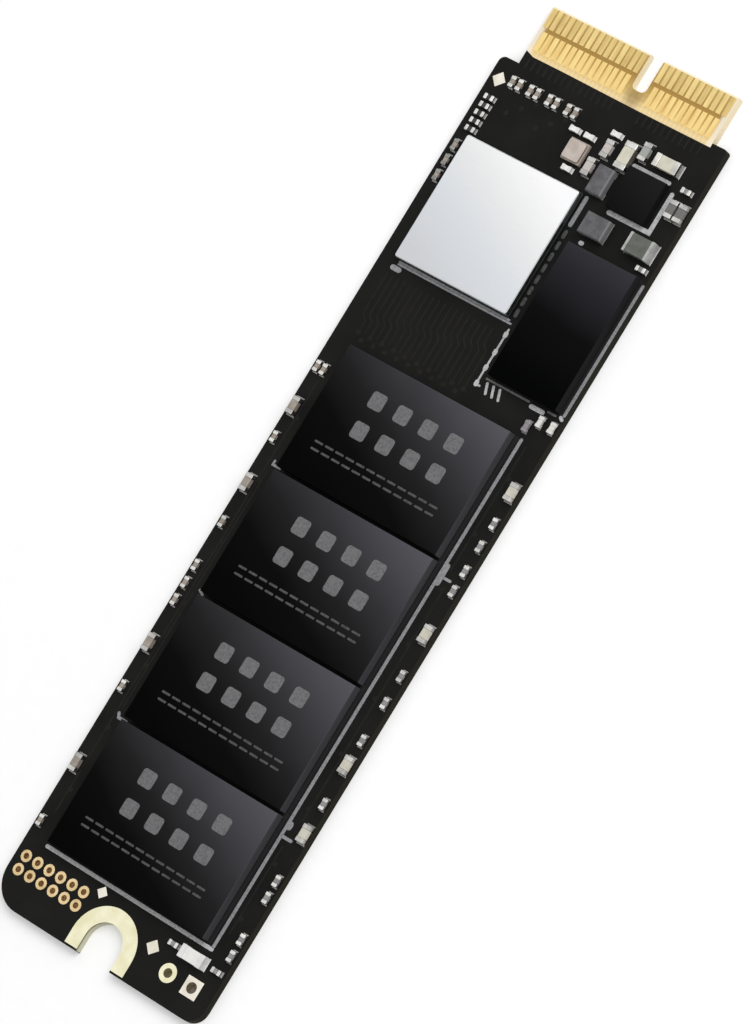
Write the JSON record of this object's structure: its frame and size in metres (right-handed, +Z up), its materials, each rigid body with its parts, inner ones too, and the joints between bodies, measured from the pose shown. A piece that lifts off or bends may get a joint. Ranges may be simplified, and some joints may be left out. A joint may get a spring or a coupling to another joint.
{
  "type": "solid state drive",
  "caption": "Flat blade-type solid state drive: black circuit board with moulded memory packages, a lidded controller, a gold keyed edge connector and a screw notch.",
  "frame": {"origin": "middle of the bounding box on the plane that the board lies on", "axes": "+Y towards the edge connector, +X to the right seen from above, +Z up out of the parts side"},
  "size_m": [0.024, 0.089, 0.002],
  "materials": {
    "board_mask": "satin",
    "contact_gold": "satin",
    "land_gold": "satin",
    "hole_gold": "satin",
    "bare_metal": "satin",
    "flash_mould": "satin",
    "memory_mould": "gloss",
    "carrier": "satin",
    "silicon": "gloss",
    "lid_metal": "satin",
    "regulator_mould": "satin",
    "ferrite": "matte",
    "bulk_body": "matte",
    "crystal_ceramic": "matte",
    "crystal_metal": "satin",
    "white_ceramic": "matte",
    "large_ceramic": "matte",
    "resistor_body": "satin",
    "capacitor_ceramic": "matte",
    "tinned_metal": "satin"
  },
  "bodies": {
    "root": {"bulk_capacitor": "bulk_body", "bulk_capacitor_ends": "tinned_metal", "circuit_board": "board_mask", "controller_capacitors": "capacitor_ceramic", "controller_capacitors_ends": "tinned_metal", "controller_die": "silicon", "controller_lid": "lid_metal", "controller_resistors": "resistor_body", "controller_resistors_ends": "tinned_metal", "controller_substrate": "carrier", "coupling_capacitors": "capacitor_ceramic", "coupling_capacitors_ends": "tinned_metal", "crystal_base": "crystal_ceramic", "crystal_lid": "crystal_metal", "dram_package": "memory_mould", "fiducial_marks": "bare_metal", "filter_capacitors": "capacitor_ceramic", "filter_capacitors_ends": "tinned_metal", "filter_resistors": "resistor_body", "filter_resistors_ends": "tinned_metal", "flat_inductor": "ferrite", "flat_inductor_terminals": "tinned_metal", "front_contacts": "contact_gold", "header_plating": "hole_gold", "input_capacitors": "large_ceramic", "input_capacitors_ends": "tinned_metal", "left_edge_capacitors": "capacitor_ceramic", "left_edge_capacitors_ends": "tinned_metal", "left_filter_capacitors": "capacitor_ceramic", "left_filter_capacitors_ends": "tinned_metal", "memory_capacitors": "capacitor_ceramic", "memory_capacitors_ends": "tinned_metal", "nand_package_1": "flash_mould", "nand_package_2": "flash_mould", "nand_package_3": "flash_mould", "nand_package_4": "flash_mould", "power_regulator": "regulator_mould", "rear_contacts": "contact_gold", "right_edge_capacitors": "capacitor_ceramic", "right_edge_capacitors_ends": "tinned_metal", "right_edge_resistors": "resistor_body", "right_edge_resistors_ends": "tinned_metal", "round_hole_plating": "hole_gold", "screw_land": "land_gold", "square_hole_plating": "hole_gold", "tail_chip": "white_ceramic", "tail_chip_ends": "tinned_metal", "tail_resistors": "resistor_body", "tail_resistors_ends": "tinned_metal", "timing_capacitors": "capacitor_ceramic", "timing_capacitors_ends": "tinned_metal", "upright_inductor": "ferrite", "upright_inductor_terminals": "tinned_metal"}
  },
  "joints": []
}
